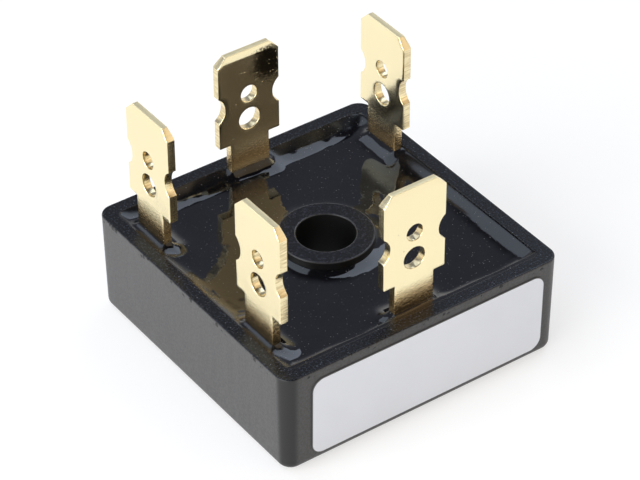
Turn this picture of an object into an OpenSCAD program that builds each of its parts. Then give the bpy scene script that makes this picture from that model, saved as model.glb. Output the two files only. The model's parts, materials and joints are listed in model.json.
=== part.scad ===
// Potted three-phase bridge rectifier module with five push-on blade terminals.
// A square moulded case holds a metal base plate, a ceramic insulator, the diode
// assembly and a centre bushing for one screw; potting compound fills the rest.
// Millimetres, +Z up. The origin is on the screw axis, at the plate's underside.

/* [Case] */
// Outside width of the square case at its rim
case_w = 28.5; // [28.2:0.1:32]
// Height of the rim above the mounting surface
case_h = 10; // [9.5:0.1:13]
// Wall thickness
wall = 1.35; // [1.2:0.05:1.7]
// Radius of the four upright corners at the rim
corner_r = 1.4; // [1.2:0.1:2.2]
// Inset of each side at its foot, from the draft of the mould
draft_inset = 0.15; // [0.05:0.05:0.3]
// Radius along the bottom edge
edge_r = 0.8; // [0.4:0.1:0.9]
// Bevel along the outer edge of the rim
rim_bevel = 0.1; // [0.05:0.05:0.3]
// Radius of the upright corners inside the case
inner_r = 0.7; // [0.5:0.1:1.2]

/* [Base plate] */
// Thickness of the base plate
plate_t = 2; // [1.5:0.1:2.2]
// Distance from the case's outline to the plate's edge
plate_inset = 1.55; // [1.5:0.05:1.9]
// Radius of the plate's corners
plate_r = 1; // [0.6:0.1:1.5]
// Glue gap between the plate and the case
plate_gap = 0.05; // [0.02:0.01:0.1]
// How far the plate's underside stands below the case
plate_proud = 0.1; // [0.05:0.05:0.2]
// Width of the moulded lip that the plate seats against
lip_w = 0.8; // [0.6:0.1:1]
// Height of that lip
lip_t = 0.6; // [0.4:0.1:0.8]

/* [Centre bushing] */
// Diameter of the screw hole
bore_d = 5.2; // [4.2:0.1:5.6]
// Outside diameter of the bushing
bushing_d = 8.5; // [8:0.1:9]
// How far the bushing stands above the rim
bushing_rise = 0.1; // [0:0.05:0.3]
// Bevel on the bushing's top edges
bushing_bevel = 0.15; // [0.05:0.05:0.3]

/* [Diode assembly] */
// Thickness of the ceramic insulator
insul_t = 0.63; // [0.4:0.01:0.8]
// Clearance round the insulator, at the lip and at the bushing
insul_gap = 0.2; // [0.1:0.05:0.3]
// Thickness of the plus and minus buses
bus_t = 0.8; // [0.6:0.1:1]
// Margin from the insulator's edge to the buses
bus_margin = 0.3; // [0.2:0.1:0.5]
// Clearance between the buses and the bushing
bus_gap = 1.35; // [1:0.05:1.6]
// Thickness of a diode die with its solder
die_t = 0.5; // [0.3:0.05:0.6]
// Margin from a strap's sides to the die below it
die_margin = 0.1; // [0.05:0.05:0.3]
// Thickness of the straps that join the dies of each phase
strap_t = 0.6; // [0.4:0.1:0.8]
// How far a strap runs past the centre of a die
strap_end = 1.8; // [1.6:0.1:2]
// Clearance between the second strap and the bushing
strap_gap = 0.6; // [0.4:0.1:0.7]
// Clearance between the first strap and the second
pair_gap = 0.65; // [0.4:0.05:0.8]
// Margin from the ends of the buses to the first strap
strap_margin = 0.1; // [0.05:0.05:0.3]
// Clearance between the first strap and the second terminal's foot
foot_gap = 0.3; // [0.2:0.05:0.5]
// By how much the minus bus's arm is wider than its strap
arm_margin = 0.3; // [0.1:0.1:0.5]

/* [Terminals] */
// Width of the blade, the standard push-on size
blade_w = 6.3; // [6:0.1:6.6]
// Thickness of the blade, the standard push-on size
blade_t = 0.8; // [0.7:0.05:0.9]
// Height of the blade's top above the mounting surface
blade_top = 22.1; // [21.5:0.1:24]
// Length of the full-width blade, from its shoulders to its top
blade_len = 9.3; // [9:0.1:9.8]
// Width of the neck below the shoulders
neck_w = 4; // [3.4:0.1:4.2]
// Width of the bevel at each top corner
corner_w = 0.9; // [0.6:0.05:1.2]
// Height of the bevel at each top corner
corner_h = 0.9; // [0.6:0.05:1.3]
// Height of the coined lead-in on both faces
lead_h = 0.65; // [0.5:0.05:1.2]
// Thickness left at the blade's top edge
lead_t = 0.55; // [0.4:0.05:0.65]
// Distance from the blade's top down to the middle of the side notches
notch_drop = 5.3; // [5:0.1:5.6]
// Height of a side notch
notch_h = 2.55; // [2.2:0.05:2.8]
// Depth of a side notch
notch_depth = 0.68; // [0.4:0.02:0.9]
// Diameter of the upper hole
upper_d = 1.65; // [1.2:0.05:2]
// Distance from the blade's top down to the upper hole
upper_drop = 4.55; // [4.2:0.05:4.8]
// Diameter of the lower hole
lower_d = 2.15; // [1.6:0.05:2.4]
// Distance from the blade's top down to the lower hole
lower_drop = 7.15; // [6.9:0.05:7.4]
// Inside radius of the bend between neck and foot
bend_r = 0.4; // [0.2:0.1:0.6]
// Length of a DC terminal's foot that lies on its bus
dc_seat = 3; // [2.4:0.1:3.6]

/* [Terminal places] */
// Gap between the first AC blade and its wall
ac_gap_1 = 0.9; // [0.1:0.05:1]
// Gap between the second AC blade and its wall
ac_gap_2 = 0.75; // [0.1:0.05:1]
// Gap between the third AC blade and its wall
ac_gap_3 = 0.2; // [0.1:0.05:1]
// Distance from the first AC blade's side to the inner corner beside it
ac_side_1 = 0.85; // [0.5:0.05:1.2]
// Distance from the second AC blade's side to the inner corner beside it
ac_side_2 = 2.25; // [2:0.05:2.6]
// Distance from the third AC blade's side to the inner corner beside it
ac_side_3 = 1.55; // [1.2:0.05:1.9]
// Gap between the plus blade and its wall
plus_gap = 0.1; // [0.1:0.05:1]
// Gap between the minus blade and its wall
minus_gap = 0.8; // [0.1:0.05:1]
// Sideways shift of the plus blade from the middle of its wall
plus_shift = 0.45; // [-0.5:0.05:0.5]
// Sideways shift of the minus blade from the middle of its wall
minus_shift = -0.25; // [-0.5:0.05:0.5]

/* [Potting] */
// Depth of the compound's flat surface below the rim
potting_depth = 1; // [1:0.1:1.4]
// Radius of the menisci along the walls
wall_meniscus = 0.9; // [0.5:0.1:1]
// Radius of the menisci at the bushing and the terminals
neck_meniscus = 0.7; // [0.4:0.1:0.9]

/* [Label] */
// Length of the label
label_w = 24.1; // [20:0.1:24.4]
// Height of the label
label_h = 8.1; // [6:0.1:8.3]
// Radius of the label's corners
label_r = 1.2; // [0.5:0.1:2]
// Thickness of the label
label_t = 0.1; // [0.05:0.01:0.2]
// Height of the label's lower edge above the mounting surface
label_z = 0.95; // [0.95:0.01:1.2]
// Sideways shift of the label from the middle of its face
label_shift = 0.4; // [-0.5:0.1:0.5]

/* [Hidden] */
$fn = 64;
slack = 1; // how far cutting shapes run past the faces that they cut

PHASES = [0 : 2];

// Half widths, each worked out from the one outside it
case_half = case_w / 2;
plate_half = case_half - plate_inset;
cavity_half = case_half - wall;
lip_half = cavity_half - lip_w;
insul_half = lip_half - insul_gap;
bus_out = insul_half - bus_margin;
bus_in = bushing_d / 2 + bus_gap;

// The stack, from the plate upwards
bus_z = plate_t + insul_t;
die_z = bus_z + bus_t;
strap_z = die_z + die_t;
strap_top = strap_z + strap_t;
lip_top = plate_t + lip_t;
potting_z = case_h - potting_depth;
bushing_top = case_h + bushing_rise;

// Shoulders and bends of the terminals
shoulder_z = blade_top - blade_len;
notch_r = (pow(notch_h / 2, 2) + pow(notch_depth, 2)) / (2 * notch_depth);

// Each terminal stands along a wall. Its place is the turn of that wall from +Y,
// the distance along the wall, and the gap between the blade and the wall.
function from_corner(side) = cavity_half - side - blade_w / 2;
AC_PLACES = [
  [90, from_corner(ac_side_1), ac_gap_1],
  [90, -from_corner(ac_side_2), ac_gap_2],
  [-90, -from_corner(ac_side_3), ac_gap_3]
];
PLUS_PLACE = [0, plus_shift, plus_gap];
MINUS_PLACE = [180, minus_shift, minus_gap];
function place_out(place) = cavity_half - place[2];

// Straps: the first runs along the ends of the buses, the second beside the
// bushing, the third under the foot of the terminal at the opposite wall. Two
// of them share the space between the bushing and the ends of the buses.
strap_w = (bus_out - strap_margin - pair_gap - strap_gap - bushing_d / 2) / 2;
die_w = strap_w - 2 * die_margin;
bus_die_y = (bus_out + bus_in) / 2;
STRAP_X = [
  strap_w / 2 - bus_out + strap_margin,
  -(bushing_d / 2 + strap_gap + strap_w / 2),
  bus_out - strap_w
];
// The first minus die sits clear of the second terminal's foot
first_minus_y = AC_PLACES[1][1] + neck_w / 2 + foot_gap + strap_end;
MINUS_Y = [first_minus_y, -bus_die_y, -bus_die_y];

// Lean of the case's sides
lean = atan(draft_inset / case_h);
function side_at(z) = case_half - draft_inset * (1 - z / case_h);

// A square with rounded corners, given by its half width
module rounded_square(half, r) {
  rounded_plate(2 * half, 2 * half, r);
}

module rounded_plate(w, h, r) {
  square([w - 2 * r, h], center = true);
  square([w, h - 2 * r], center = true);
  for (x = [-1, 1], y = [-1, 1])
    translate([x * (w / 2 - r), y * (h / 2 - r)])
      circle(r);
}

// Half of the case's outline from the side, reaching out to `reach` at the rim
module side_outline(reach) {
  arc_z = plate_proud + edge_r;
  arc_x = reach - draft_inset * (1 - arc_z / case_h) - edge_r / cos(lean);
  polygon([
    [0, plate_proud],
    [arc_x, plate_proud],
    [arc_x, arc_z],
    [arc_x + edge_r * cos(lean), arc_z - edge_r * sin(lean)],
    [reach - draft_inset * rim_bevel / case_h, case_h - rim_bevel],
    [reach - rim_bevel, case_h],
    [0, case_h]
  ]);
  intersection() {
    translate([arc_x, arc_z]) circle(edge_r);
    translate([arc_x, plate_proud]) square(edge_r);
  }
}

// The case's outer body: two crossed slabs with a turned quarter at each corner
module case_body() {
  post = case_half - corner_r;
  for (turn = [0, 90])
    rotate([0, 0, turn])
      translate([0, post, 0])
        rotate([90, 0, 0])
          linear_extrude(2 * post) {
            side_outline(case_half);
            mirror([1, 0]) side_outline(case_half);
          }
  for (turn = [0 : 90 : 270])
    rotate([0, 0, turn])
      translate([post, post, 0])
        rotate_extrude(angle = 90) side_outline(corner_r);
}

module case() {
  color("#2b2c30")
    difference() {
      case_body();
      // rebate for the base plate
      linear_extrude(plate_t)
        rounded_square(plate_half + plate_gap, plate_r + plate_gap);
      // window inside the lip
      linear_extrude(case_h)
        rounded_square(lip_half, inner_r);
      // cavity for the compound
      translate([0, 0, lip_top])
        linear_extrude(case_h)
          rounded_square(cavity_half, inner_r);
    }
}

module base_plate() {
  color("#b9bcc0")
    difference() {
      linear_extrude(plate_t)
        rounded_square(plate_half, plate_r);
      translate([0, 0, -slack])
        cylinder(h = plate_t + 2 * slack, d = bore_d);
    }
}

module bushing() {
  color("#26272b")
    rotate_extrude()
      polygon([
        [bore_d / 2, plate_t],
        [bushing_d / 2, plate_t],
        [bushing_d / 2, bushing_top - bushing_bevel],
        [bushing_d / 2 - bushing_bevel, bushing_top],
        [bore_d / 2 + bushing_bevel, bushing_top],
        [bore_d / 2, bushing_top - bushing_bevel]
      ]);
}

module insulator() {
  color("#e9e7e0")
    translate([0, 0, plate_t])
      linear_extrude(insul_t)
        difference() {
          rounded_square(insul_half, inner_r);
          circle(bushing_d / 2 + insul_gap);
        }
}

// Blank of a bus whose lower edge, seen from above, is at y
module bus_strip(y) {
  translate([-bus_out, y]) square([2 * bus_out, bus_out - bus_in]);
}

module plus_bus() {
  color("#c27a4a")
    translate([0, 0, bus_z])
      linear_extrude(bus_t) bus_strip(bus_in);
}

// The minus bus has an arm that carries the first phase's die
module minus_bus() {
  color("#c27a4a")
    translate([0, 0, bus_z])
      linear_extrude(bus_t) {
        bus_strip(-bus_out);
        translate([-bus_out, -bus_out])
          square([strap_w + arm_margin, bus_out + first_minus_y + strap_end]);
      }
}

module die(x, y) {
  color("#5c6068")
    translate([x, y, die_z + die_t / 2])
      cube([die_w, die_w, die_t], center = true);
}

module plus_diode(i) {
  die(STRAP_X[i], bus_die_y);
}

module minus_diode(i) {
  die(STRAP_X[i], MINUS_Y[i]);
}

module phase_strap(i) {
  low = MINUS_Y[i] - strap_end;
  high = bus_die_y + strap_end;
  color("#c27a4a")
    translate([STRAP_X[i] - strap_w / 2, low, strap_z])
      cube([strap_w, high - low, strap_t]);
}

// Section of a terminal's strip, seen along the blade's width: the blade with its
// coined lead-in, the bend and the foot
module strip_section(foot_z, foot_len) {
  cut = (blade_t - lead_t) / 2;
  bend = blade_t + bend_r;
  polygon([
    [-blade_t, foot_z + bend], [0, foot_z + bend],
    [0, blade_top - lead_h], [-cut, blade_top],
    [cut - blade_t, blade_top], [-blade_t, blade_top - lead_h]
  ]);
  translate([-bend, foot_z + bend])
    intersection() {
      difference() {
        circle(bend);
        circle(bend_r);
      }
      translate([0, -bend]) square(bend);
    }
  translate([-foot_len, foot_z]) square([foot_len - bend, blade_t]);
}

// What the press cuts from one side of the strip, seen from the face: the side
// of the neck, the notch and the top corner
module side_cuts(foot_z) {
  half = blade_w / 2;
  translate([neck_w / 2, foot_z - slack])
    square([blade_w, shoulder_z - foot_z + slack]);
  translate([half + notch_r - notch_depth, blade_top - notch_drop])
    circle(notch_r);
  polygon([
    [half, blade_top - corner_h],
    [half - corner_w, blade_top],
    [half - corner_w - slack * corner_w / corner_h, blade_top + slack],
    [half + slack, blade_top + slack],
    [half + slack, blade_top - corner_h]
  ]);
}

// A terminal: blade, neck and a foot bent towards the middle of the case.
// The blade's outer face is at y = 0 and the foot runs towards -Y.
module terminal(foot_z, foot_len) {
  color("#e3c074")
    difference() {
      translate([-blade_w / 2, 0, 0])
        rotate([90, 0, 90])
          linear_extrude(blade_w) strip_section(foot_z, foot_len);
      translate([0, slack, 0])
        rotate([90, 0, 0])
          linear_extrude(foot_len + 2 * slack) {
            for (side = [0, 1])
              mirror([side, 0]) side_cuts(foot_z);
            translate([0, blade_top - upper_drop]) circle(d = upper_d);
            translate([0, blade_top - lower_drop]) circle(d = lower_d);
          }
    }
}

// Puts what stands along the +Y wall at a terminal's place
module at_place(place) {
  rotate([0, 0, place[0]])
    translate([place[1], place_out(place), 0])
      children();
}

// An AC terminal's foot runs to the far edge of its strap
module ac_terminal(i) {
  place = AC_PLACES[i];
  at_place(place)
    terminal(strap_top, place_out(place) - abs(STRAP_X[i]) + strap_w / 2);
}

// A DC terminal's foot lies on the outer part of its bus
module dc_terminal(place) {
  at_place(place)
    terminal(die_z, place_out(place) - bus_out + dc_seat);
}

// Concave fillet in the corner of two faces, in the first quadrant
module meniscus(r) {
  difference() {
    square(r);
    translate([r, r]) circle(r);
  }
}

// Section of the open space above the compound, from wall to wall
module trough(half, r) {
  translate([0, potting_z]) {
    translate([-half + r, 0]) square([2 * (half - r), case_h]);
    translate([-half, r]) square([2 * half, case_h]);
    for (side = [-1, 1])
      translate([side * (half - r), r]) circle(r);
  }
}

// The compound's block with menisci that climb the four walls
module walled_block() {
  translate([0, 0, plate_t])
    linear_extrude(lip_t) rounded_square(lip_half, inner_r);
  difference() {
    translate([0, 0, lip_top])
      linear_extrude(potting_z + wall_meniscus - lip_top)
        rounded_square(cavity_half, inner_r);
    intersection_for (turn = [0, 90])
      rotate([0, 0, turn])
        translate([0, case_w, 0])
          rotate([90, 0, 0])
            linear_extrude(2 * case_w) trough(cavity_half, wall_meniscus);
  }
}

// Compound that climbs a terminal's neck and the gap between it and the wall
module neck_collar(place) {
  r = neck_meniscus;
  gap = place[2];
  half = neck_w / 2;
  at_place(place)
    translate([0, 0, potting_z]) {
      // web between the neck and the wall, with sloping ends
      translate([-half, -blade_t, 0])
        cube([neck_w, blade_t + gap, wall_meniscus]);
      for (side = [0, 1])
        mirror([side, 0, 0])
          translate([half, gap, 0])
            rotate([90, 0, 0])
              linear_extrude(gap + blade_t) meniscus(wall_meniscus);
      // meniscus along the inner face, with turned ends
      translate([-half, -blade_t, 0])
        rotate([90, 0, 90])
          mirror([1, 0, 0])
            linear_extrude(neck_w) meniscus(r);
      for (side = [0, 1])
        mirror([side, 0, 0])
          translate([half, -blade_t, 0])
            rotate([0, 0, -90])
              rotate_extrude(angle = 90) meniscus(r);
    }
}

module potting() {
  color("#15171d")
    difference() {
      union() {
        walled_block();
        translate([0, 0, potting_z])
          rotate_extrude()
            translate([bushing_d / 2, 0]) meniscus(neck_meniscus);
        for (place = concat(AC_PLACES, [PLUS_PLACE, MINUS_PLACE]))
          neck_collar(place);
      }
      cylinder(h = case_h + slack, d = bushing_d);
      insulator();
      plus_bus();
      minus_bus();
      for (i = PHASES) {
        plus_diode(i);
        minus_diode(i);
        phase_strap(i);
        ac_terminal(i);
      }
      dc_terminal(PLUS_PLACE);
      dc_terminal(MINUS_PLACE);
    }
}

module label() {
  color("#d9dbe0")
    translate([0, -side_at(0), 0])
      rotate([90 + lean, 0, 0])
        translate([label_shift, (label_z + label_h / 2) / cos(lean), 0])
          linear_extrude(label_t) rounded_plate(label_w, label_h, label_r);
}

case();
base_plate();
bushing();
insulator();
plus_bus();
minus_bus();
potting();
label();
for (i = PHASES) {
  plus_diode(i);
  minus_diode(i);
  phase_strap(i);
  ac_terminal(i);
}
dc_terminal(PLUS_PLACE);  // plus_terminal
dc_terminal(MINUS_PLACE);  // minus_terminal
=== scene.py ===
"""Looks of a potted three-phase bridge rectifier module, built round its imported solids.

The case, bushing, potting compound, terminals, label and base plate are modelled here
in full and stand for the solids of the same names. The diode assembly that the
compound hides keeps its solids and gets its finishes.
"""

import json
import logging
import math
from collections.abc import Callable, Sequence
from dataclasses import dataclass
from enum import Enum
from typing import Any

import bmesh
import bpy
import numpy as np
from bpy.types import Material, NodeTree, Object
from mathutils import Matrix, Vector
from mathutils.geometry import delaunay_2d_cdt

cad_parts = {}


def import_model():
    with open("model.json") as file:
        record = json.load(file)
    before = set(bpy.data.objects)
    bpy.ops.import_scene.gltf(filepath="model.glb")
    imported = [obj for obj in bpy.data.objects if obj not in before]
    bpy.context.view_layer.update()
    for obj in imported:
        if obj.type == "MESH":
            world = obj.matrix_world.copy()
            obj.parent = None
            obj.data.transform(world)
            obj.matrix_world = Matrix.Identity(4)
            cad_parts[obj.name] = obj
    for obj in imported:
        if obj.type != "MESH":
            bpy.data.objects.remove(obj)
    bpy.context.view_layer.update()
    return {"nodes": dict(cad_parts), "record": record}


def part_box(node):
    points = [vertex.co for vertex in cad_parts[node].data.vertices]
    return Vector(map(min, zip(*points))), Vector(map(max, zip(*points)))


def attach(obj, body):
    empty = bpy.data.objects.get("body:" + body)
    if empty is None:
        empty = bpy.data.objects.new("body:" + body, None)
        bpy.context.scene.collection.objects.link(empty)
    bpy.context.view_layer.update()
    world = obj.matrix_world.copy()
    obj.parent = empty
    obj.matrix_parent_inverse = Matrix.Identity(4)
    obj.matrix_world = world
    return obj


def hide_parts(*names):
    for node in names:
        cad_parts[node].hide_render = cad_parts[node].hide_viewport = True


LOG = logging.getLogger("rectifier")
MM = 0.001
SEED = 11
BODY = "root"
QUARTER = math.pi / 2
WHITE = (1.0, 1.0, 1.0)
Colour = tuple[float, float, float]
Point = tuple[float, float, float]
Pair = tuple[float, float]  # a range, or two sizes that belong together
Scatter = tuple[float, float, float]  # the spacing, radius and share of specks
Face = tuple[int, ...]
Array = np.ndarray


class Slot(Enum):
    """The record's material slots."""

    CASE = "case_plastic"
    BUSHING = "bushing_plastic"
    COMPOUND = "compound"
    LABEL = "label_film"
    PLATE = "plate_metal"
    CERAMIC = "ceramic"
    COPPER = "copper"
    SILICON = "silicon"
    GOLD = "gold_plate"


# NODE TREES


@dataclass(frozen=True)
class Wire:
    """A node's output, with which sums are written as with numbers."""

    graph: "Graph"
    socket: bpy.types.NodeSocket

    def __add__(self, other: Any) -> "Wire":
        """Adds a wire or a number."""
        return self.graph.math("ADD", self, other)

    def __sub__(self, other: Any) -> "Wire":
        """Takes away a wire or a number."""
        return self.graph.math("SUBTRACT", self, other)

    def __rsub__(self, other: float) -> "Wire":
        """Takes the wire away from a number."""
        return self.graph.math("SUBTRACT", other, self)

    def __mul__(self, other: Any) -> "Wire":
        """Multiplies by a wire or a number."""
        return self.graph.math("MULTIPLY", self, other)

    def __truediv__(self, other: Any) -> "Wire":
        """Divides by a wire or a number."""
        return self.graph.math("DIVIDE", self, other)

    def __rtruediv__(self, other: float) -> "Wire":
        """Divides a number by the wire."""
        return self.graph.math("DIVIDE", other, self)


@dataclass(frozen=True)
class Placed:
    """A placed node."""

    graph: "Graph"
    node: bpy.types.Node

    def __getitem__(self, key: str | int) -> Wire:
        """The output of a name or number."""
        return Wire(self.graph, self.node.outputs[key])


class Graph:
    """A short way to write the nodes of a material, a group or a world."""

    def __init__(self, tree: NodeTree) -> None:
        """Starts from an empty tree."""
        self.tree = tree
        tree.nodes.clear()

    def feed(self, placed: Placed, inputs: dict[Any, Any]) -> None:
        """Links a wire to each named or numbered input, or sets its value."""
        for key, value in inputs.items():
            socket = placed.node.inputs[key]
            if isinstance(value, Wire):
                self.tree.links.new(value.socket, socket)
            else:
                socket.default_value = (*value, 1.0) if socket.type == "RGBA" else value

    def add(self, kind: str, inputs: dict[Any, Any] | None = None, **settings: Any) -> Placed:
        """Adds a node.

        Args:
            kind: The node's type name, short of ShaderNode where it starts with it.
            inputs: A wire or a value for each input's name or number.
            **settings: The node's own properties.

        Returns:
            The new node.
        """
        full = kind if "Node" in kind else "ShaderNode" + kind
        placed = Placed(self, self.tree.nodes.new(full))
        for name, value in settings.items():
            setattr(placed.node, name, value)
        self.feed(placed, inputs or {})
        return placed

    def math(self, operation: str, *values: Any, clamp: bool = False) -> Wire:
        """Works out one operation on wires or numbers."""
        inputs = dict(enumerate(values))
        return self.add("Math", inputs, operation=operation, use_clamp=clamp)[0]

    def peak(self, first: Any, second: Any) -> Wire:
        """The larger of two values."""
        return self.math("MAXIMUM", first, second)

    def ramp(
        self, value: Wire, low: float, high: float, start: float = 0.0, end: float = 1.0
    ) -> Wire:
        """Goes smoothly from start to end as the value goes from low to high."""
        inputs = {"Value": value, "From Min": low, "From Max": high, "To Min": start, "To Max": end}
        return self.add("MapRange", inputs, interpolation_type="SMOOTHSTEP")["Result"]

    def mix(self, factor: Wire, first: Any, second: Any) -> Wire:
        """Mixes two colours, given as wires or as red, green and blue, by a factor."""
        return self.add("Mix", {0: factor, 6: first, 7: second}, data_type="RGBA")[2]

    def noise(self, place: Wire, scale: Any, detail: float = 2.0, roughness: float = 0.5) -> Wire:
        """Plain noise at a place."""
        inputs = {"Vector": place, "Scale": scale, "Detail": detail, "Roughness": roughness}
        return self.add("TexNoise", inputs)["Fac"]


def node_group(
    kind: str, name: str, inputs: dict[str, str], outputs: dict[str, str]
) -> tuple[Graph, Placed]:
    """Starts a node group with named sockets.

    Args:
        kind: Geometry or Shader.
        name: The group's name.
        inputs: The type of each input.
        outputs: The type of each output.

    Returns:
        The group's graph and its input node.
    """
    tree = bpy.data.node_groups.new(name, kind + "NodeTree")
    for side, sockets in (("INPUT", inputs), ("OUTPUT", outputs)):
        for key, value in sockets.items():
            tree.interface.new_socket(name=key, in_out=side, socket_type="NodeSocket" + value)
    graph = Graph(tree)
    return graph, graph.add("NodeGroupInput")


class Effects:
    """The effects that several finishes share, each a node group built once.

    Each reads its place, and takes its sizes, in millimetres.
    """

    def __init__(self) -> None:
        """Builds every group."""
        self.grain = self._grain()
        self.specks = self._specks()
        self.streaks = self._streaks()

    @staticmethod
    def _start(name: str, numbers: Sequence[str], *outputs: str) -> tuple[Graph, Placed]:
        """Starts a group that reads a place and some numbers."""
        inputs = {"Vector": "Vector", **dict.fromkeys(numbers, "Float")}
        return node_group("Shader", name, inputs, dict.fromkeys(outputs, "Float"))

    def _grain(self) -> NodeTree:
        """Fine grain: a height for bump and a slow tone of light and dark."""
        g, given = self._start("fine_grain", ("Size", "Tone size"), "Height", "Tone")
        fine = g.noise(given["Vector"], 1.0 / given["Size"], 3.0, 0.6)
        slow = g.noise(given["Vector"], 1.0 / given["Tone size"])
        g.add("NodeGroupOutput", {"Height": fine, "Tone": g.ramp(slow, 0.3, 0.7)})
        return g.tree

    def _specks(self) -> NodeTree:
        """Scattered dust or pits: a mask that is 1 on each speck."""
        g, given = self._start("specks", ("Spacing", "Radius", "Share"), "Mask")
        inputs = {"Vector": given["Vector"], "Scale": 1.0 / given["Spacing"]}
        cells = g.add("TexVoronoi", inputs)
        chance = g.add("SeparateColor", {"Color": cells["Color"]})
        chosen = g.math("LESS_THAN", chance["Red"], given["Share"])
        reach = given["Radius"] / given["Spacing"] * (chance["Green"] + 0.4)
        inside = g.math("SUBTRACT", 1.0, cells["Distance"] / reach, clamp=True)
        g.add("NodeGroupOutput", {"Mask": g.ramp(inside, 0.0, 0.4) * chosen})
        return g.tree

    def _streaks(self) -> NodeTree:
        """Streaks along Z, as from shearing, rolling or the draw of a mould."""
        g, given = self._start("streaks", ("Width", "Length"), "Height")
        across = 1.0 / given["Width"]
        scale = g.add("CombineXYZ", {0: across, 1: across, 2: 1.0 / given["Length"]})
        place = {0: given["Vector"], 1: scale[0]}
        drawn = g.add("VectorMath", place, operation="MULTIPLY")[0]
        g.add("NodeGroupOutput", {"Height": g.noise(drawn, 1.0)})
        return g.tree


class Surface(Graph):
    """A material's graph, with its place in millimetres, the shared effects and a shader."""

    def __init__(self, name: str, effects: Effects) -> None:
        """Starts a material of the given name."""
        self.material = bpy.data.materials.new(name)
        self.material.use_nodes = True
        super().__init__(self.material.node_tree)
        self.effects = effects
        self.shader = self.add("BsdfPrincipled")
        self.add("OutputMaterial", {"Surface": self.shader["BSDF"]})
        metres = self.add("TexCoord")["Object"]
        scale = {0: metres, "Scale": 1 / MM}
        self.place = self.add("VectorMath", scale, operation="SCALE")[0]
        at = self.add("SeparateXYZ", {0: self.place})
        self.x, self.y, self.z = at["X"], at["Y"], at["Z"]

    def out_from_middle(self) -> Wire:
        """How far a place is from the middle, as a square grows."""
        return self.peak(self.math("ABSOLUTE", self.x), self.math("ABSOLUTE", self.y))

    def attribute(self, name: str) -> Wire:
        """A mask that the mesh carries."""
        return self.add("Attribute", attribute_name=name)["Fac"]

    def _effect(self, group: NodeTree, inputs: dict[str, Any]) -> Placed:
        """Places a shared effect."""
        return self.add("Group", {"Vector": self.place, **inputs}, node_tree=group)

    def grain(self, size: float, tone_size: float) -> tuple[Wire, Wire]:
        """The height and the tone of the shared grain."""
        placed = self._effect(self.effects.grain, {"Size": size, "Tone size": tone_size})
        return placed["Height"], placed["Tone"]

    def specks(self, scatter: Scatter) -> Wire:
        """The mask of the shared specks."""
        inputs = dict(zip(("Spacing", "Radius", "Share"), scatter))
        return self._effect(self.effects.specks, inputs)["Mask"]

    def streaks(self, width: float, length: float, **place: Wire) -> Wire:
        """The height of the shared streaks, at the own place or at another Vector."""
        inputs = {"Width": width, "Length": length, **place}
        return self._effect(self.effects.streaks, inputs)["Height"]

    def finish(
        self, colour: Wire, roughness: Wire, height: Wire, depth: float, **constants: float
    ) -> Material:
        """Feeds the shader.

        Args:
            colour: The base colour.
            roughness: The roughness.
            height: The relief, from 0 to 1.
            depth: What a height of 1 is in millimetres.
            **constants: The shader's other inputs, with underscores for spaces.

        Returns:
            The material.
        """
        bump = {"Height": height, "Distance": depth * MM, "Strength": 1.0}
        inputs = {key.replace("_", " "): value for key, value in constants.items()}
        inputs |= {"Base Color": colour, "Roughness": roughness}
        inputs["Normal"] = self.add("Bump", bump)["Normal"]
        self.feed(self.shader, inputs)
        return self.material


# FINISHES


def scaled(colour: Colour, factor: float) -> Colour:
    """A lighter or darker shade of a colour."""
    return colour[0] * factor, colour[1] * factor, colour[2] * factor


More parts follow.
